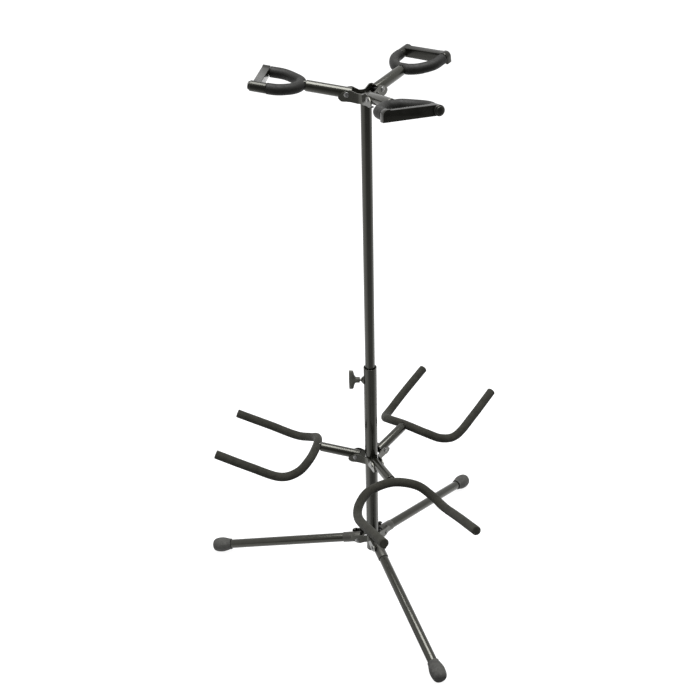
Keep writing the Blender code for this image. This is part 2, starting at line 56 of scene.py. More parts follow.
# The clamp's joint sits where the screw's axis crosses the mast's axis
MAST_FOOT = Vector((*JOINTS["clamp_turn"]["pos_m"][:2], 0))

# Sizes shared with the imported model, in metres and degrees
GAP = 0.0003
ARM_RISE = 9.0
LEG_SLOPE = -11.4
ARM_RADIUS = 0.0095
ARM_WALL = 0.0015
ARM_START = -0.0070
ARM_BORE = ARM_RADIUS - ARM_WALL
PIN_RADIUS = 0.003
PIN_HOLE = PIN_RADIUS + GAP
PACKED_FOAM_RADIUS = 0.0086
PACKED_COVER_RADIUS = 0.0092

# Mast tubes: bottom, top, outer radius, inner radius
LOWER_TUBE = (0.055, 0.505, 0.0127, 0.0112)
UPPER_TUBE = (0.290, 1.036, 0.009525, 0.008325)

# Legs and feet, placed by distance from the leg's pivot
LEG_END = 0.318
LEG_SLEEVE_END = 0.031
LEG_SLEEVE_RADIUS = 0.01075
FOOT_MOUTH = 0.2862
FOOT_TIP = 0.3276
FOOT_NECK_RADIUS = 0.0120
FOOT_WIDEST_RADIUS = 0.0155
FOOT_WIDEST = 0.3080

# Rods and their sleeves, in the arm's frame
ROD_RADIUS = 0.00475
TONGUE_HALF_WIDTH = 0.0032
BORE_RADIUS = 0.00544
FOAM_RADIUS = 0.0087
FOAM_LIP = 0.0016
FOAM_UNEVEN = 0.00014
COVER_RADIUS = 0.0093
COVER_LIP = 0.0012
COVER_UNEVEN = 0.00008
NOTCH_LENGTH = 0.02
NOTCH_HALF_WIDTH = TONGUE_HALF_WIDTH + 0.0004
NOTCH_HALF_HEIGHT = 0.0080
CRADLE_TWIST = {"a": 8.5, "b": -8.5, "c": -4.5}
YOKE_TWIST = {"a": 0.0, "b": -2.3, "c": -1.4}
CRADLE_BEND = [(0.081, 0, 0), (0.087, 0.048, -0.009), (0.104, 0.075, -0.026)]
CRADLE_BEND += [(0.136, 0.088, -0.036), (0.195, 0.0905, -0.027), (0.265, 0.090, -0.015)]
YOKE_BEND = [(0.079, 0, 0), (0.080, 0.0125, 0), (0.0905, 0.0265, -0.001)]
YOKE_BEND += [(0.1115, 0.0400, -0.0013), (0.134, 0.0415, -0.0015), (0.1550, 0.0415, -0.0015)]
PRONG_OFFSET = 0.0415
PRONG_DROP = -0.0015
PRONG_ENDS = (0.1550, 0.1485)
COVER_ENDS = (0.1280, 0.1372)
FOAM_END = 0.2665

# Gates, in the pivot prong's frame: the barrel's start, end and radius, the bar's start, end and half
# height, and the thickness of the wall in front of the hook's slot
BARREL = (0.1285, 0.1555, 0.0088)
BAR = (0.1378, 0.1508, 0.0085)
BAR_FACE = 0.0015
GATE_SPAN = 2 * PRONG_OFFSET
HOOK_HALF_WIDTH = 0.0090

# Fineness of the round shapes
SLEEVE_SIDES = 36
ROUND_SIDES = 48
ROD_SIDES = 20
PIN_SIDES = 24
SMALL_SIDES = 32
FOOT_SIDES = 64
PATH_STEPS = 10
CORNER_STEPS = 3
OPEN_END_STEPS = 5
CLOSED_END_STEPS = 6

# View: the camera's place from the mast, and its aim, in degrees
CAMERA_BACK = 1.7394
CAMERA_HEIGHT = 1.6204
CAMERA_TURN = 9.0
CAMERA_PAN = -1.23
CAMERA_TILT = 31.749
CAMERA_ROLL = -1.50
LENS_MM = 55.73
SENSOR_MM = 36.0


# Materials. Noise and cells are scaled per metre, and colours are linear

WARM = (1.0, 1.0, 0.90, 1.0)
EDGE_HIGHLIGHT_AND_WEAR_WIDTH = 0.0007
MOST_OF_NOISE = (0.3, 0.7)


class Finish:
    """A procedural material: one Principled shader fed by noise in the object's own space."""

    def __init__(self, name, roughness, metallic=0.0):
        self.material = bpy.data.materials.new(name)
        self.material.use_nodes = True
        self.nodes = self.material.node_tree.nodes
        self.links = self.material.node_tree.links
        self.shader = self.nodes["Principled BSDF"]
        self.shader.inputs["Roughness"].default_value = roughness
        self.shader.inputs["Metallic"].default_value = metallic
        self.space = self.nodes.new("ShaderNodeTexCoord").outputs["Object"]

    def set(self, **values):
        for name, value in values.items():
            self.shader.inputs[name.replace("_", " ")].default_value = value
        return self

    def noise(self, scale, detail=3.0, rough=0.5):
        texture = self.nodes.new("ShaderNodeTexNoise")
        texture.inputs["Scale"].default_value = scale
        texture.inputs["Detail"].default_value = detail
        texture.inputs["Roughness"].default_value = rough
        self.links.new(self.space, texture.inputs["Vector"])
        return texture.outputs["Fac"]

    def cells(self, scale):
        texture = self.nodes.new("ShaderNodeTexVoronoi")
        texture.inputs["Scale"].default_value = scale
        self.links.new(self.space, texture.inputs["Vector"])
        return texture.outputs["Distance"]

    def ramp(self, value, low, high, low_at=0.35, high_at=0.65):
        made = self.nodes.new("ShaderNodeValToRGB")
        ends = made.color_ramp.elements
        ends[0].position, ends[1].position = low_at, high_at
        ends[0].color, ends[1].color = (*low, 1), (*high, 1)
        self.links.new(value, made.inputs["Fac"])
        return made.outputs["Color"]

    def blend(self, mode, first, second, factor):
        made = self.nodes.new("ShaderNodeMix")
        made.data_type = "RGBA"
        made.blend_type = mode
        if isinstance(factor, (int, float)):
            made.inputs["Factor"].default_value = factor
        else:
            self.links.new(factor, made.inputs["Factor"])
        for socket, value in ((made.inputs["A"], first), (made.inputs["B"], second)):
            if isinstance(value, tuple):
                socket.default_value = (*value, 1)
            else:
                self.links.new(value, socket)
        return made.outputs["Result"]

    def edge_highlight_and_wear_mask(self, width):
        """A mask that is 1 in broken patches along convex and concave edges, where the colour is lightened: a
        painted highlight along the edges, with slight rubbed wear.
        """
        rounded = self.nodes.new("ShaderNodeBevel")
        rounded.samples = 4
        rounded.inputs["Radius"].default_value = width
        compare = self.nodes.new("ShaderNodeVectorMath")
        compare.operation = "DOT_PRODUCT"
        flat = self.nodes.new("ShaderNodeNewGeometry").outputs["Normal"]
        self.links.new(rounded.outputs["Normal"], compare.inputs[0])
        self.links.new(flat, compare.inputs[1])
        # The painted edge highlight and wear start where the rounded normal leans 14 degrees from the face, and
        # are full at 37
        edge = self.nodes.new("ShaderNodeMapRange")
        edge.inputs["From Min"].default_value = 0.97
        edge.inputs["From Max"].default_value = 0.80
        self.links.new(compare.outputs["Value"], edge.inputs["Value"])
        broken = self.nodes.new("ShaderNodeMath")
        broken.operation = "MULTIPLY"
        patches = self.ramp(self.noise(260.0, 4.0, 0.7), (0, 0, 0), (1, 1, 1), 0.45, 0.60)
        self.links.new(edge.outputs["Result"], broken.inputs[0])
        self.links.new(patches, broken.inputs[1])
        return broken.outputs["Value"]

    def colour(self, output):
        self.links.new(output, self.shader.inputs["Base Color"])
        return self

    def roughness(self, value, low, high):
        made = self.nodes.new("ShaderNodeMapRange")
        made.inputs["From Min"].default_value = MOST_OF_NOISE[0]
        made.inputs["From Max"].default_value = MOST_OF_NOISE[1]
        made.inputs["To Min"].default_value = low
        made.inputs["To Max"].default_value = high
        self.links.new(value, made.inputs["Value"])
        self.links.new(made.outputs["Result"], self.shader.inputs["Roughness"])
        return self

    def bump(self, *layers):
        """Adds bump layers, each (height, strength, distance in metres)."""
        normal = None
        for height, strength, distance in layers:
            made = self.nodes.new("ShaderNodeBump")
            made.inputs["Strength"].default_value = strength
            made.inputs["Distance"].default_value = distance
            self.links.new(height, made.inputs["Height"])
            if normal:
                self.links.new(normal, made.inputs["Normal"])
            normal = made.outputs["Normal"]
        self.links.new(normal, self.shader.inputs["Normal"])
        return self


def powder_coat(name, dark, light, low, high, peel, gloss, edge_highlight_and_wear_colour=None):
    """Black powder coat: a fine orange peel, faint clouding in colour and gloss, and, when an edge colour is
    given, lighter edges that are a painted highlight with slight rubbed wear.
    """
    made = Finish(name, low)
    base = made.ramp(made.noise(38.0, 4.0, 0.6), dark, light)
    if edge_highlight_and_wear_colour:
        # Lighter edges: a painted highlight along the edges, with slight rubbed wear
        base = made.blend("MIX", base, edge_highlight_and_wear_colour, made.edge_highlight_and_wear_mask(EDGE_HIGHLIGHT_AND_WEAR_WIDTH))
    made.colour(base)
    made.roughness(made.noise(120.0, 5.0, 0.6), low, high)
    made.bump((made.noise(700.0, 2.0), peel, 0.00004), (made.noise(90.0, 2.0), 0.04, 0.0001))
    return made.set(Specular_IOR_Level=gloss, Specular_Tint=WARM).material


def dark_steel():
    """Blackened steel, patchy and fairly glossy."""
    made = Finish("blackened_steel", 0.3, 0.85)
    made.colour(made.ramp(made.noise(220.0, 5.0), (0.10, 0.10, 0.098), (0.24, 0.24, 0.235)))
    made.roughness(made.noise(900.0, 3.0), 0.24, 0.42)
    made.bump((made.noise(2600.0, 2.0), 0.15, 0.00004))
    return made.material


def zinc():
    """Bright zinc plating, mottled and slightly dulled."""
    made = Finish("zinc_steel", 0.35, 0.95)
    made.colour(made.ramp(made.noise(300.0, 5.0), (0.30, 0.30, 0.29), (0.58, 0.57, 0.54)))
    made.roughness(made.noise(700.0, 4.0), 0.28, 0.48)
    made.bump((made.noise(3000.0, 2.0), 0.2, 0.00003))
    return made.material


def foam():
    """Closed-cell foam: matt, with fine open cells, faint mottling and a dusty sheen."""
    made = Finish("charcoal_foam", 0.92)
    mottled = made.ramp(made.noise(70.0, 6.0, 0.65), (0.0145, 0.0143, 0.0114), (0.0235, 0.0231, 0.0190))
    speck = made.ramp(made.cells(1500.0), (0.55, 0.55, 0.55), (1.15, 1.15, 1.12), 0.10, 0.55)
    made.colour(made.blend("MULTIPLY", mottled, speck, 0.75))
    made.roughness(made.noise(500.0, 3.0), 0.86, 0.97)
    grain = made.cells(1500.0)
    made.bump((grain, 0.55, 0.00022), (made.noise(420.0, 4.0, 0.7), 0.35, 0.0003))
    made.set(Sheen_Weight=0.05, Sheen_Roughness=0.5, Specular_IOR_Level=0.12)
    return made.material


def soft_cover():
    """Soft rubbery cover: smoother than the foam, with a broad low sheen and faint streaks."""
    made = Finish("soft_cover", 0.6)
    base = made.ramp(made.noise(60.0, 5.0, 0.6), (0.0048, 0.0048, 0.0042), (0.0078, 0.0078, 0.0069))
    scuff = made.ramp(made.noise(380.0, 5.0, 0.7), (0.85, 0.85, 0.85), (1.2, 1.2, 1.18))
    made.colour(made.blend("MULTIPLY", base, scuff, 0.6))
    made.roughness(made.noise(160.0, 4.0), 0.48, 0.66)
    made.bump((made.noise(1100.0, 3.0), 0.18, 0.0001), (made.noise(150.0, 2.0), 0.15, 0.0003))
    return made.set(Sheen_Weight=0.02, Sheen_Roughness=0.4, Specular_IOR_Level=0.19).material


def rubber():
    """Moulded grey rubber: matt, lightly pitted, a little dusty on its upper side."""
    made = Finish("grey_rubber", 0.75)
    base = made.ramp(made.noise(80.0, 6.0, 0.65), (0.022, 0.022, 0.0206), (0.037, 0.037, 0.0346))
    facing = made.nodes.new("ShaderNodeNewGeometry").outputs["Normal"]
    split = made.nodes.new("ShaderNodeSeparateXYZ")
    made.links.new(facing, split.inputs["Vector"])
    dusty = made.ramp(split.outputs["Z"], (1.0, 1.0, 1.0), (1.35, 1.34, 1.30), 0.2, 1.0)
    made.colour(made.blend("MULTIPLY", base, dusty, 0.7))
    made.roughness(made.noise(300.0, 4.0), 0.62, 0.84)
    made.bump((made.noise(1300.0, 3.0), 0.3, 0.00012), (made.noise(240.0, 3.0), 0.2, 0.0002))
    return made.set(Sheen_Weight=0.05, Specular_IOR_Level=0.3).material


def moulded_plastic(name, dark, light, low, high, grain):
    """Moulded plastic with a fine grain and faint clouding."""
    made = Finish(name, low)
    made.colour(made.ramp(made.noise(45.0, 4.0), dark, light))
    made.roughness(made.noise(210.0, 4.0), low, high)
    made.bump((made.noise(900.0, 2.0), grain, 0.00004), (made.noise(70.0, 2.0), 0.04, 0.0002))
    return made.set(Specular_IOR_Level=0.30, Specular_Tint=WARM).material


def all_finishes():
    return {
        "black_paint": powder_coat(
            "black_paint", (0.006, 0.006, 0.0045), (0.010, 0.010, 0.008), 0.17, 0.23, 0.006, 0.55
        ),
        # The plates' last colour lightens their edges: a painted highlight, with slight rubbed wear
        "plate_paint": powder_coat(
            "plate_paint", (0.010, 0.010, 0.008), (0.016, 0.016, 0.013), 0.14, 0.22, 0.03, 0.7,
            (0.10, 0.10, 0.09)
        ),
        "sleeve_paint": powder_coat(
            "sleeve_paint", (0.016, 0.0155, 0.014), (0.026, 0.025, 0.023), 0.32, 0.44, 0.12, 0.5
        ),
        "blackened_steel": dark_steel(),
        "zinc_steel": zinc(),
        "charcoal_foam": foam(),
        "soft_cover": soft_cover(),
        "grey_rubber": rubber(),
        "gate_plastic": moulded_plastic(
            "gate_plastic", (0.005, 0.005, 0.0042), (0.009, 0.009, 0.0078), 0.16, 0.26, 0.015
        ),
        "guide_plastic": moulded_plastic(
            "guide_plastic", (0.030, 0.030, 0.028), (0.045, 0.045, 0.042), 0.42, 0.58, 0.20
        ),
        "knob_plastic": moulded_plastic(
            "knob_plastic", (0.044, 0.044, 0.038), (0.070, 0.070, 0.060), 0.30, 0.42, 0.06
        ),
    }


# Shape helpers


def to_mesh(bm, name):
    bmesh.ops.recalc_face_normals(bm, faces=bm.faces)
    mesh = bpy.data.meshes.new(name)
    bm.to_mesh(mesh)
    bm.free()
    return mesh


def loft(rings, name, closed=False):
    """A skin over rings of points: capped at both ends, or joined end to end when closed."""
    bm = bmesh.new()
    loops = [[bm.verts.new(point) for point in points] for points in rings]
    pairs = list(zip(loops[:-1], loops[1:]))
    if closed:
        pairs.append((loops[-1], loops[0]))
    count = len(rings[0])
    for first, second in pairs:
        for i in range(count):
            j = (i + 1) % count
            bm.faces.new((first[i], first[j], second[j], second[i]))
    if not closed:
        bm.faces.new(loops[0])
        bm.faces.new(loops[-1])
    return to_mesh(bm, name)


def ring(centre, side, other, radius, sides):
    turns = [2 * math.pi * k / sides for k in range(sides)]
    return [centre + radius * (math.cos(a) * side + math.sin(a) * other) for a in turns]


def eased(points, amount, closed=False):
    """An outline with each corner rounded by about the given amount, or less on a short side."""
    side_share = 0.4
    held = [Vector(point) for point in points]
    out = []
    for i, point in enumerate(held):
        if not closed and i in (0, len(held) - 1):
            out.append(point)
            continue
        before, after = held[i - 1] - point, held[(i + 1) % len(held)] - point
        start = point + before.normalized() * min(amount, side_share * before.length)
        end = point + after.normalized() * min(amount, side_share * after.length)
        for step in range(CORNER_STEPS + 1):
            t = step / CORNER_STEPS
            out.append(start * (1 - t) ** 2 + point * 2 * t * (1 - t) + end * t * t)
    return out


def turned(profile, name, ease=0.0004, closed=False, sides=ROUND_SIDES):
    """A solid turned round the X axis from (x, radius) points, with its corners eased."""
    y, z = Vector((0, 1, 0)), Vector((0, 0, 1))
    rings = [ring(Vector((p.x, 0, 0)), y, z, p.y, sides) for p in eased(profile, ease, closed)]
    return loft(rings, name, closed)


def moved(mesh, place):
    mesh.transform(place)
    return mesh


def boolean(mesh, others, operation):
    """The mesh after a union with, or a cut by, each of the other meshes."""
    holder = bpy.data.objects.new("boolean_body", mesh)
    bpy.context.scene.collection.objects.link(holder)
    tools = []
    for other in others:
        tool = bpy.data.objects.new("boolean_tool", other)
        bpy.context.scene.collection.objects.link(tool)
        tools.append(tool)
        step = holder.modifiers.new("step", "BOOLEAN")
        step.operation = operation
        step.solver = "EXACT"
        step.object = tool
    graph = bpy.context.evaluated_depsgraph_get()
    result = bpy.data.meshes.new_from_object(holder.evaluated_get(graph))
    for obj in [holder, *tools]:
        bpy.data.objects.remove(obj, do_unlink=True)
    return result


def put(name, mesh, place, finish, body, nodes, sharp_degrees=40):
    """Shows a mesh in place of CAD nodes, on the body that carries them."""
    mesh.transform(place)
    mesh.materials.clear()
    mesh.materials.append(FINISHES[finish])
    mesh.shade_smooth()
    mesh.set_sharp_from_angle(angle=math.radians(sharp_degrees))
    made = bpy.data.objects.new(name, mesh)
    bpy.context.scene.collection.objects.link(made)
    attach(made, body)
    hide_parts(*nodes)
    return made


def smooth_path(points, steps):
    """A Catmull-Rom curve through the points, leaving the first one straight along Y."""
    points = [Vector(point) for point in points]
    before = Vector((points[1].x, -points[1].y, points[1].z))
    held = [before, *points, 2 * points[-1] - points[-2]]
    path = []
    for i in range(1, len(held) - 2):
        p0, p1, p2, p3 = held[i - 1 : i + 3]
        for step in range(steps):
            t = step / steps
            slope = (p2 - p0) * t
            bow = (2 * p0 - 5 * p1 + 4 * p2 - p3) * t * t
            turn = (3 * p1 - p0 - 3 * p2 + p3) * t * t * t
            path.append(0.5 * (2 * p1 + slope + bow + turn))
    path.append(points[-1].copy())
    return path


def clipped(path, end_x):
    """A path cut off, or run straight on, to end at reach end_x."""
    kept = [path[0]]
    ahead = path[-1] - path[-2]
    for here, there in zip(path, path[1:] + [path[-1] + ahead]):
        if there.x >= end_x:
            kept.append(here.lerp(there, (end_x - here.x) / (there.x - here.x)))
            return kept
        kept.append(there)
    return kept


def across(points, ends):
    """The whole bent line from the right-hand end, through the middle, to the left-hand end."""
    half = smooth_path(points, PATH_STEPS)
    left, right = clipped(half, ends[0]), clipped(half, ends[1])
    return [Vector((p.x, -p.y, p.z)) for p in right[:0:-1]] + left


def path_frames(path):
    """(point, direction, side, other side) along a path, kept from twisting."""
    frames = []
    side = Vector((0, 0, 1))
    for i, point in enumerate(path):
        ahead = path[min(i + 1, len(path) - 1)] - path[max(i - 1, 0)]
        ahead.normalize()
        side = (side - side.dot(ahead) * ahead).normalized()
        frames.append((point, ahead, side, ahead.cross(side)))
    return frames


def sleeve_ring(station, radius):
    point, _, side, other = station
    return ring(point, side, other, radius, SLEEVE_SIDES)


def rounded_end(station, way, radius, lip, steps):
    """Rings round the lip of a sleeve's end. The way is 1 at its start and -1 at its far end."""
    point, ahead, side, other = station
    rings = []
    for step in range(steps + 1):
        turn = math.radians(90 / steps * step)
        centre = point + way * ahead * lip * (1 - math.cos(turn))
        size = radius - lip * (1 - math.sin(turn))
        rings.append(ring(centre, side, other, size, SLEEVE_SIDES))
    return rings


def soft_sleeve(name, path, radius, lip):
    """A hollow sleeve with a rounded edge at each cut end."""
    stations = path_frames(path)
    rings = rounded_end(stations[0], 1, radius, lip, OPEN_END_STEPS)
    rings += [sleeve_ring(station, radius) for station in stations[2:-2]]
    rings += rounded_end(stations[-1], -1, radius, lip, OPEN_END_STEPS)[::-1]
    rings += [sleeve_ring(station, BORE_RADIUS) for station in stations[::-1]]
    return loft(rings, name, closed=True)


def capped_sleeve(name, path, radius, lip):
    """A sleeve closed over both tips of the rod inside it. Each tip is flat with a rounded edge."""
    stations = path_frames(path)
    tips = []
    for station, way in ((stations[0], 1), (stations[-1], -1)):
        edge = rounded_end(station, way, radius, lip, CLOSED_END_STEPS)
        tips.append([sleeve_ring(station, 0.5 * radius), *edge])
    middle = [sleeve_ring(station, radius) for station in stations[2:-2]]
    return loft(tips[0] + middle + tips[1][::-1], name)


def make_uneven(mesh, amount):
    """Swells and dents a soft surface slightly, in broad waves and in finer ones half as high."""
    broad, fine = 55.0, 160.0
    for vert in mesh.vertices:
        swell = noise.noise(vert.co * broad) + 0.5 * noise.noise(vert.co * fine)
        vert.co += vert.normal * amount * swell


def arm_matrix(joint_name, slope, upwards):
    """The frame of an arm, from its fold joint: +X out along the arm, +Y to its left."""
    joint = JOINTS[joint_name]
    axis = Vector(joint["axis"])
    left = -axis if upwards else axis
    out = left.cross(Vector((0, 0, 1))).normalized()
    turn = Matrix((out, left, Vector((0, 0, 1)))).transposed().to_4x4()
    tilt = Matrix.Rotation(math.radians(-slope), 4, "Y")
    return Matrix.Translation(joint["pos_m"]) @ turn @ tilt


def twist_matrix(degrees):
    return Matrix.Rotation(math.radians(degrees), 4, "X")


def slab(x, y, z):
    """A plain cutter between two corners given as (low, high) pairs."""
    corners = [(y[0], z[0]), (y[1], z[0]), (y[1], z[1]), (y[0], z[1])]
    return loft([[Vector((reach, p, q)) for p, q in corners] for reach in x], "slab")


# Soft pieces


def slit(mesh, reach, others=()):
    """The sleeve, slit on the inner side where the arm's tongue comes in, and cut by the others."""
    side, high = NOTCH_HALF_WIDTH, NOTCH_HALF_HEIGHT
    notch = slab((reach - NOTCH_LENGTH, reach), (-side, side), (-high, high))
    return boolean(mesh, [notch, *others], "DIFFERENCE")


def cradle_foam(letter):
    place = arm_matrix(f"cradle_fold_{letter}", ARM_RISE, True)
    place = place @ twist_matrix(CRADLE_TWIST[letter])
    mesh = capped_sleeve("foam", across(CRADLE_BEND, (FOAM_END, FOAM_END)), FOAM_RADIUS, FOAM_LIP)
    make_uneven(mesh, FOAM_UNEVEN)
    tip = CRADLE_BEND[-1][0] + GAP
    bore = []
    for point, _, side, other in path_frames(across(CRADLE_BEND, (tip, tip))):
        bore.append(ring(point, side, other, BORE_RADIUS, ROD_SIDES))
    mesh = slit(mesh, CRADLE_BEND[0][0], [loft(bore, "bore")])
    nodes = [f"foam_left_{letter}", f"foam_right_{letter}"]
    name = f"foam_sleeve_{letter}"
    made = put(name, mesh, place, "charcoal_foam", f"cradle_{letter}", nodes, sharp_degrees=60)


def yoke_cover(letter):
    place = arm_matrix(f"yoke_fold_{letter}", ARM_RISE, True)
    place = place @ twist_matrix(YOKE_TWIST[letter])
    path = across(YOKE_BEND, COVER_ENDS)
    mesh = soft_sleeve("cover", path, COVER_RADIUS, COVER_LIP)
    make_uneven(mesh, COVER_UNEVEN)
    mesh = slit(mesh, YOKE_BEND[0][0])
    nodes = [f"yoke_cover_left_{letter}", f"yoke_cover_right_{letter}"]
    name = f"neck_cover_{letter}"
    made = put(name, mesh, place, "soft_cover", f"yoke_{letter}", nodes, sharp_degrees=60)


def foot_profile():
    """Outline of the foot as (x, radius): a rolled lip, a swelling bulb and a blunt tip."""
    lip = [(0.0, 0.0102), (0.0, 0.0108), (0.0003, 0.0113), (0.0010, 0.0116)]
    lip += [(0.0022, 0.0116), (0.0030, 0.0114), (0.0038, 0.0117)]
    points = [(FOOT_MOUTH + x, radius) for x, radius in lip]
    neck, neck_radius = FOOT_MOUTH + 0.0050, FOOT_NECK_RADIUS
    swell_steps, swell = 8, 1.1
    for step in range(swell_steps + 1):
        share = step / swell_steps
        risen = math.sin(share * math.pi / 2) ** swell
        radius = neck_radius + (FOOT_WIDEST_RADIUS - neck_radius) * risen
        points.append((neck + (FOOT_WIDEST - neck) * share, radius))
    tip_length, bluntness, tip_turn = FOOT_TIP - 0.0002 - FOOT_WIDEST, 0.42, 9.2
    for step in range(1, 10):
        turn = math.radians(tip_turn * step)
        x = FOOT_WIDEST + tip_length * math.sin(turn)
        points.append((x, FOOT_WIDEST_RADIUS * math.cos(turn) ** bluntness))
    return points


def rubber_foot(letter):
    """The foot, drawn as a full round bulb and cut flat where it stands on the floor."""
    socket = ARM_RADIUS + GAP
    profile = [(LEG_END + GAP, socket), (FOOT_MOUTH + GAP, socket), *foot_profile()]
    bm = bmesh.new()
    bm.from_mesh(turned(profile, "foot", 0.0, sides=FOOT_SIDES))
    bm.transform(arm_matrix(f"leg_fold_{letter}", LEG_SLOPE, False))
    everything = bm.verts[:] + bm.edges[:] + bm.faces[:]
    cut = bmesh.ops.bisect_plane(
        bm, geom=everything, plane_co=(0, 0, 0), plane_no=(0, 0, 1), clear_inner=True
    )
    rim = [item for item in cut["geom_cut"] if isinstance(item, bmesh.types.BMEdge)]
    bmesh.ops.contextual_create(bm, geom=rim)
    mesh = to_mesh(bm, "rubber_foot")
    name, nodes = f"rubber_foot_{letter}", [f"foot_{letter}"]
    put(name, mesh, Matrix.Identity(4), "grey_rubber", f"leg_{letter}", nodes, sharp_degrees=50)


# Tubes and arms


def tube(low, high, outer, inner, name):
    profile = [(low, inner), (low, outer), (high, outer), (high, inner)]
    return turned(profile, name, 0.0003, closed=True)


def upright(mesh):
    """A piece made along X, stood on end on the mast's axis."""
    stand = Matrix.Translation(MAST_FOOT) @ Matrix.Rotation(math.radians(-90), 4, "Y")
    return moved(mesh, stand)


def clamp_matrix():
    """The clamp screw's frame: +X out of the mast along the screw."""
    joint = JOINTS["clamp_turn"]
    out = Vector(joint["axis"])
    up = Vector((0, 0, 1))
    turn = Matrix((out, up.cross(out), up)).transposed().to_4x4()
    return Matrix.Translation(joint["pos_m"]) @ turn


def bored(body):
    """The body of an arm or leg, with the hole for its rivet along Y through the pivot."""
    reach = 0.02
    pin = turned([(-reach, PIN_HOLE), (reach, PIN_HOLE)], "pin", 0.0, sides=PIN_SIDES)
    return boolean(body, [moved(pin, Matrix.Rotation(math.radians(90), 4, "Z"))], "DIFFERENCE")


def mast_tubes():
    """The two tubes. The lower one has a tapered boss, bored for the clamp's screw."""
    here = Matrix.Identity(4)
    low, high, outer, inner = LOWER_TUBE
    clear_low, clear_high = 0.44, 0.504
    boss = [(inner, 0.0088), (0.0135, 0.0078), (0.0170, 0.0046)]
    boss = moved(turned(boss, "boss", 0.0003), clamp_matrix())
    bore = turned([(0.004, PIN_HOLE), (0.022, PIN_HOLE)], "bore", 0.0, sides=PIN_SIDES)
    bore = moved(bore, clamp_matrix())
    core = upright(turned([(clear_low, inner), (clear_high, inner)], "core", 0.0))
    body = boolean(upright(tube(low, high, outer, inner, "lower_tube")), [boss], "UNION")
    body = boolean(body, [core, bore], "DIFFERENCE")
    put("mast_lower", body, here, "black_paint", "base", ["lower_tube"])
    body = upright(tube(*UPPER_TUBE, "upper_tube"))
    put("mast_upper", body, here, "black_paint", "upper_mast", ["upper_tube"])


def leg_steel(letter):
    place = arm_matrix(f"leg_fold_{letter}", LEG_SLOPE, False)
    body = bored(tube(ARM_START, LEG_END, ARM_RADIUS, ARM_BORE, "leg"))
    nodes = [f"leg_tube_{letter}"]
    put(f"leg_{letter}_tube", body, place, "black_paint", f"leg_{letter}", nodes)
    sleeve_bore = ARM_RADIUS + GAP
    body = bored(tube(ARM_START, LEG_SLEEVE_END, LEG_SLEEVE_RADIUS, sleeve_bore, "leg_sleeve"))
    nodes = [f"leg_sleeve_{letter}"]
    put(f"leg_{letter}_sleeve", body, place, "sleeve_paint", f"leg_{letter}", nodes)


def rounded_box_ring(x, half_y, half_z, corner, roll):
    """A section across the X axis with rounded corners."""
    corners = [(-half_y, -half_z), (half_y, -half_z), (half_y, half_z), (-half_y, half_z)]
    return [roll @ Vector((x, p.x, p.y)) for p in eased(corners, corner, closed=True)]


def welded_arm(bend, ends, soft_radius, twist):
    """A tube closed to a tongue, welded to the bent rod that crosses it."""
    bore_end, edge = 0.030, 0.0007
    reach = bend[0][0]
    neck = reach - soft_radius - GAP
    profile = [(bore_end, ARM_BORE), (ARM_START, ARM_BORE), (ARM_START, ARM_RADIUS)]
    profile += [(neck - edge, ARM_RADIUS), (neck, ARM_RADIUS - edge)]
    body = turned(profile, "arm", 0.0003)
    roll = Matrix.Rotation(math.radians(twist), 3, "X")
    half_height, tip_half_height, corner = 0.0078, 0.0064, 0.0022
    tongue = []
    for x, z in ((neck - 0.001, half_height), (neck + 0.002, half_height), (reach, tip_half_height)):
        tongue.append(rounded_box_ring(x, TONGUE_HALF_WIDTH, z, corner, roll))
    rod = []
    for point, _, side, other in path_frames(across(bend, ends)):
        rod.append([roll @ p for p in ring(point, side, other, ROD_RADIUS, ROD_SIDES)])
    return bored(boolean(body, [loft(tongue, "tongue"), loft(rod, "rod")], "UNION"))


def cradle_steel(letter):
    place = arm_matrix(f"cradle_fold_{letter}", ARM_RISE, True)
    rod_end = CRADLE_BEND[-1][0]
    twist = CRADLE_TWIST[letter]
    mesh = welded_arm(CRADLE_BEND, (rod_end, rod_end), PACKED_FOAM_RADIUS, twist)
    nodes = [f"cradle_arm_{letter}"]
    put(f"cradle_{letter}_steel", mesh, place, "black_paint", f"cradle_{letter}", nodes)


def yoke_steel(letter):
    place = arm_matrix(f"yoke_fold_{letter}", ARM_RISE, True)
    mesh = welded_arm(YOKE_BEND, PRONG_ENDS, PACKED_COVER_RADIUS, YOKE_TWIST[letter])
    nodes = [f"yoke_arm_{letter}"]
    put(f"yoke_{letter}_steel", mesh, place, "black_paint", f"yoke_{letter}", nodes)


# Small hard pieces


def domed_rivet(hub, letter, joint_name, body, grip):
    """A rivet along its joint's axis, with a low dome at each side, the grip's distance out."""
    height, radius, dome_steps, dome_turn = 0.0018, 0.0046, 7, 11
    turns = [math.radians(dome_turn * step) for step in range(dome_steps, -1, -1)]
    dome = [(grip + height * math.sin(t), radius * math.cos(t)) for t in turns]
    profile = dome + [(grip, radius), (grip, PIN_RADIUS)]
    profile += [(-x, r) for x, r in profile[::-1]]
    mesh = turned(profile, "rivet", 0.00015, sides=SMALL_SIDES)
    joint = JOINTS[joint_name]
    turn = Vector(joint["axis"]).to_track_quat("X", "Z").to_matrix().to_4x4()
    place = Matrix.Translation(joint["pos_m"]) @ turn
    node = f"{hub}_rivet_{letter}"
    put(f"{hub}_dome_{letter}", mesh, place, "blackened_steel", body, [node], sharp_degrees=50)


def all_rivets():
    plates = 0.0026
    arm_grip, leg_grip = ARM_RADIUS + plates, LEG_SLEEVE_RADIUS + plates
    for letter in LETTERS:
        domed_rivet("base", letter, f"leg_fold_{letter}", "base", leg_grip)
        domed_rivet("middle", letter, f"cradle_fold_{letter}", "base", arm_grip)
        domed_rivet("top", letter, f"yoke_fold_{letter}", "upper_mast", arm_grip)


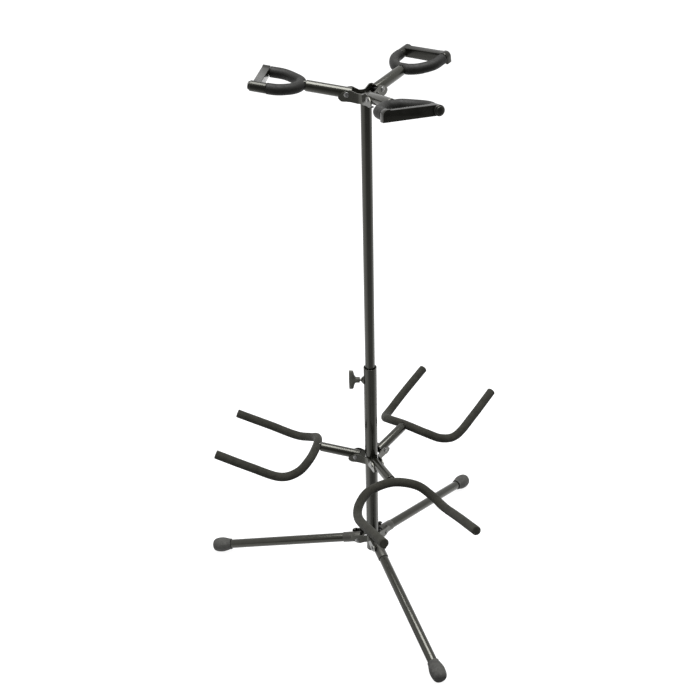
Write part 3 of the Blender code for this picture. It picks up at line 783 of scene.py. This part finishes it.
def bar_outline():
    """Front view of the gate's bar and the crown over its hook, as (y, z) from the pivot prong."""
    hook, half, low = -GATE_SPAN, HOOK_HALF_WIDTH, BAR[2]
    crown_middle, crown_foot, crown_steps, crown_turn = 0.0010, 0.0120, 8, 15
    outer_drop = 0.0008
    outline = [(0.0, -low), (hook - half, -low - outer_drop)]
    for step in range(crown_steps + 1):
        turn = math.radians(180 - crown_turn * step)
        outline.append((hook + half * math.cos(turn), crown_middle + half * math.sin(turn)))
    outline += [(hook + crown_foot, low), (0.0, low)]
    return outline


def shrunk(outline, amount):
    """The outline moved inwards, for the eased edges. A sharp corner moves twice that at most."""
    points = [Vector(point) for point in outline]
    out = []
    for i, point in enumerate(points):
        before = (point - points[i - 1]).normalized()
        after = (points[(i + 1) % len(points)] - point).normalized()
        inwards = Vector((-before.y - after.y, before.x + after.x)).normalized()
        lean = max(0.5, inwards.dot(Vector((-after.y, after.x))))
        out.append(point + inwards * amount / lean)
    return out


def hook_slot():
    """The space for the latch prong: open below and on the inner side."""
    hook, slot, mouth = -GATE_SPAN, BORE_RADIUS, -0.0125
    sides = [(hook + slot, mouth)]
    for step in range(13):
        turn = math.radians(15 * step)
        sides.append((hook + slot * math.cos(turn), slot * math.sin(turn)))
    sides.append((hook - slot, mouth))
    reach = (BAR[0] - 0.002, BAR[1] - BAR_FACE)
    return loft([[Vector((x, y, z)) for y, z in sides] for x in reach], "hook_slot")


def gate_bar():
    """The bar and its crown, with eased edges at the front and the back."""
    outline = bar_outline()
    area = sum(a[0] * b[1] - b[0] * a[1] for a, b in zip(outline, outline[1:] + outline[:1]))
    if area < 0:
        outline = outline[::-1]
    start, end, edge, facet = BAR[0], BAR[1], 0.0007, 0.0002
    layers = [(start, edge), (start + facet, facet), (start + edge, 0.0)]
    layers += [(end - edge, 0.0), (end - facet, facet), (end, edge)]
    rings = [[Vector((x, p.x, p.y)) for p in shrunk(outline, inset)] for x, inset in layers]
    return loft(rings, "bar")


def gate_barrel():
    """The barrel round the pivot prong, with a well rounded outer end."""
    low, high, radius = BARREL
    inner_edge, outer_edge = 0.0006, 0.0014
    profile = [(low, radius - inner_edge), (low + inner_edge, radius)]
    for step in range(7):
        turn = math.radians(15 * step)
        x = high - outer_edge * (1 - math.sin(turn))
        profile.append((x, radius - outer_edge * (1 - math.cos(turn))))
    return turned(profile, "barrel", 0.0002)


def flip_gate(letter):
    """The gate: a barrel round the pivot prong, a bar across, and a hook over the other prong."""
    past_ends = 0.01
    low, high = BARREL[0] - past_ends, BARREL[1] + past_ends
    hole = turned([(low, BORE_RADIUS), (high, BORE_RADIUS)], "hole", 0.0, sides=SMALL_SIDES)
    mesh = boolean(gate_bar(), [gate_barrel()], "UNION")
    mesh = boolean(mesh, [hole, hook_slot()], "DIFFERENCE")
    place = arm_matrix(f"yoke_fold_{letter}", ARM_RISE, True) @ twist_matrix(YOKE_TWIST[letter])
    place = place @ Matrix.Translation((0, PRONG_OFFSET, PRONG_DROP))
    nodes = [f"gate_{letter}"]
    put(f"flip_gate_{letter}", mesh, place, "gate_plastic", f"gate_{letter}", nodes, sharp_degrees=32)
    start = BARREL[1] + GAP
    cap = [(start, 0.0070), (start + 0.0018, 0.0070), (start + 0.0030, 0.0054)]
    cap = turned(cap, "cap", 0.0005, sides=SMALL_SIDES)
    nodes = [f"gate_cap_{letter}"]
    put(f"prong_cap_{letter}", cap, place, "gate_plastic", f"yoke_{letter}", nodes, sharp_degrees=50)


def threaded_screw():
    """The clamp screw with a real thread."""
    pitch, depth = 0.0010, 0.00055
    start, end, steps = 0.0100, 0.0279, 126
    rings = []
    for step in range(steps + 1):
        x = start + (end - start) * step / steps
        points = []
        for k in range(PIN_SIDES):
            phase = (x / pitch - k / PIN_SIDES) % 1.0
            height = PIN_RADIUS - depth * abs(2 * phase - 1)
            turn = 2 * math.pi * k / PIN_SIDES
            points.append(Vector((x, height * math.cos(turn), height * math.sin(turn))))
        rings.append(points)
    mesh = loft(rings, "screw")
    put("clamp_stud", mesh, clamp_matrix(), "zinc_steel", "clamp", ["clamp_screw"], sharp_degrees=30)


def wing_knob():
    """The clamp's knob: a round neck that flares into two rounded wings."""
    # Each station is its distance along the screw, its half thickness and its half width
    stations = [(0.0200, 0.0051, 0.0051), (0.0206, 0.0057, 0.0057), (0.0268, 0.0057, 0.0058)]
    stations += [(0.0282, 0.0057, 0.0064), (0.0294, 0.0058, 0.0082), (0.0305, 0.0060, 0.0116)]
    stations += [(0.0316, 0.0062, 0.0162), (0.0324, 0.0064, 0.0194), (0.0333, 0.0066, 0.0208)]
    stations += [(0.0350, 0.0066, 0.0213), (0.0390, 0.0066, 0.0214), (0.0401, 0.0062, 0.0210)]
    stations += [(0.0407, 0.0054, 0.0202)]
    turns = [2 * math.pi * k / ROUND_SIDES for k in range(ROUND_SIDES)]
    rings = []
    for x, thick, wide in stations:
        rings.append([Vector((x, thick * math.cos(a), wide * math.sin(a))) for a in turns])
    hole = turned([(0.019, PIN_HOLE), (0.0284, PIN_HOLE)], "hole", 0.0, sides=PIN_SIDES)
    mesh = boolean(loft(rings, "knob"), [hole], "DIFFERENCE")
    put("wing_knob", mesh, clamp_matrix(), "knob_plastic", "clamp", ["clamp_knob"], sharp_degrees=45)


def finish_cad_nodes():
    """Gives each carried-over solid its finish, joined faces, eased edges and smooth shading."""
    same_point, edge_width, sharp_degrees = 0.000005, 0.0004, 32
    slots = {entry["node"]: entry["material_slot"] for entry in frame["record"]["subparts"]}
    for node, obj in NODES.items():
        mesh = obj.data
        mesh.materials.clear()
        mesh.materials.append(FINISHES[slots[node]])
        if "custom_normal" in mesh.attributes:
            mesh.attributes.remove(mesh.attributes["custom_normal"])
        mesh.shade_smooth()
        weld = obj.modifiers.new("weld", "WELD")
        weld.merge_threshold = same_point
        bevel = obj.modifiers.new("bevel", "BEVEL")
        bevel.width = edge_width
        bevel.segments = 2
        bevel.limit_method = "ANGLE"
        bevel.angle_limit = math.radians(sharp_degrees)
        bevel.harden_normals = True


# Stage and light: a white studio that is darker on the camera's side. The shade starts to fall where
# the cosine towards the middle of the dark side passes the first limit, and is darkest at the second

FLOOR_HALF_WIDTH = 30.0
DARK_SIDE_TURN = 20.0
DARK_SIDE_COSINES = (0.30, 0.85)
LIGHT_AIM_HEIGHT = 0.6
LIGHT_ABOVE_AIM = 3.2
LIGHT_SIZE = (2.6, 2.2)
LIGHT_WATTS = 230


def view_direction():
    """The level direction from the camera's side towards the mast."""
    turn = math.radians(CAMERA_TURN)
    return Vector((-math.sin(turn), math.cos(turn), 0))


def front_shade(nodes, links, direction, bright, dark):
    """Brightness by direction: full all round, falling to dark on the side where the camera stands."""
    turn = Matrix.Rotation(math.radians(DARK_SIDE_TURN), 3, "Z")
    towards = nodes.new("ShaderNodeVectorMath")
    towards.operation = "DOT_PRODUCT"
    towards.inputs[1].default_value = turn @ -view_direction()
    links.new(direction, towards.inputs[0])
    fall = nodes.new("ShaderNodeMapRange")
    fall.interpolation_type = "SMOOTHSTEP"
    fall.inputs["From Min"].default_value = DARK_SIDE_COSINES[0]
    fall.inputs["From Max"].default_value = DARK_SIDE_COSINES[1]
    fall.inputs["To Min"].default_value = bright
    fall.inputs["To Max"].default_value = dark
    links.new(towards.outputs["Value"], fall.inputs["Value"])
    return fall.outputs["Result"]


def seen_white(nodes, links, shade, white):
    """The studio's own shade for its light, and plain white where it is the backdrop."""
    mixed = nodes.new("ShaderNodeMix")
    mixed.inputs["B"].default_value = white
    links.new(nodes.new("ShaderNodeLightPath").outputs["Is Camera Ray"], mixed.inputs["Factor"])
    links.new(shade, mixed.inputs["A"])
    return mixed.outputs["Result"]


def stage():
    """A matt white floor round the foot of the mast."""
    floor = bpy.data.meshes.new("floor")
    half = FLOOR_HALF_WIDTH
    corners = [(-half, -half, 0), (half, -half, 0), (half, half, 0), (-half, half, 0)]
    floor.from_pydata(corners, [], [(0, 1, 2, 3)])
    ground = bpy.data.objects.new("floor", floor)
    ground.location = MAST_FOOT
    bpy.context.scene.collection.objects.link(ground)
    finish = bpy.data.materials.new("floor")
    finish.use_nodes = True
    nodes, links = finish.node_tree.nodes, finish.node_tree.links
    shader = nodes["Principled BSDF"]
    shader.inputs["Base Color"].default_value = (0.20, 0.20, 0.20, 1)
    shader.inputs["Roughness"].default_value = 0.9
    shader.inputs["Specular IOR Level"].default_value = 0.0
    shader.inputs["Emission Color"].default_value = (1, 1, 1, 1)
    around = nodes.new("ShaderNodeVectorMath")
    around.operation = "NORMALIZE"
    links.new(nodes.new("ShaderNodeTexCoord").outputs["Object"], around.inputs[0])
    shade = front_shade(nodes, links, around.outputs["Vector"], 1.05, 0.12)
    links.new(seen_white(nodes, links, shade, 0.92), shader.inputs["Emission Strength"])
    floor.materials.append(finish)


def studio():
    """The bright surroundings that the steel reflects."""
    world = bpy.data.worlds.new("studio")
    bpy.context.scene.world = world
    world.use_nodes = True
    nodes, links = world.node_tree.nodes, world.node_tree.links
    direction = nodes.new("ShaderNodeTexCoord").outputs["Generated"]
    shade = front_shade(nodes, links, direction, 1.0, 0.10)
    background = nodes["Background"]
    links.new(seen_white(nodes, links, shade, 1.0), background.inputs["Color"])
    background.inputs["Strength"].default_value = 1.0


def overhead_light():
    """One large soft light above the stand, with its long side across the view."""
    light = bpy.data.lights.new("overhead", "AREA")
    light.shape = "RECTANGLE"
    light.size, light.size_y = LIGHT_SIZE
    light.energy = LIGHT_WATTS
    made = bpy.data.objects.new("overhead", light)
    bpy.context.scene.collection.objects.link(made)
    aim = MAST_FOOT + Vector((0, 0, LIGHT_AIM_HEIGHT))
    place = aim + Vector((0, 0, LIGHT_ABOVE_AIM))
    away = (place - aim).normalized()
    right = view_direction().cross(Vector((0, 0, 1)))
    turn = Matrix((right, away.cross(right), away)).transposed().to_4x4()
    made.matrix_world = Matrix.Translation(place) @ turn


# Camera


def camera():
    """Looks down at the stand, from in front and a little to one side."""
    bpy.context.scene.view_settings.view_transform = "Standard"
    lens = bpy.data.cameras.new("camera")
    lens.sensor_width = SENSOR_MM
    lens.lens = LENS_MM
    made = bpy.data.objects.new("camera", lens)
    bpy.context.scene.collection.objects.link(made)
    ahead = view_direction()
    place = MAST_FOOT + Vector((0, 0, CAMERA_HEIGHT)) - ahead * CAMERA_BACK
    turn = math.radians(CAMERA_TURN - CAMERA_PAN)
    pan = Matrix.Rotation(turn, 4, "Z")
    tilt = Matrix.Rotation(math.radians(90 - CAMERA_TILT), 4, "X")
    roll = Matrix.Rotation(math.radians(CAMERA_ROLL), 4, "Z")
    made.matrix_world = Matrix.Translation(place) @ pan @ tilt @ roll
    bpy.context.scene.camera = made


FINISHES = all_finishes()


def main():
    finish_cad_nodes()
    mast_tubes()
    all_rivets()
    threaded_screw()
    wing_knob()
    for letter in LETTERS:
        leg_steel(letter)
        rubber_foot(letter)
        cradle_steel(letter)
        cradle_foam(letter)
        yoke_steel(letter)
        yoke_cover(letter)
        flip_gate(letter)
    stage()
    studio()
    overhead_light()
    camera()


main()
bpy.context.view_layer.update()
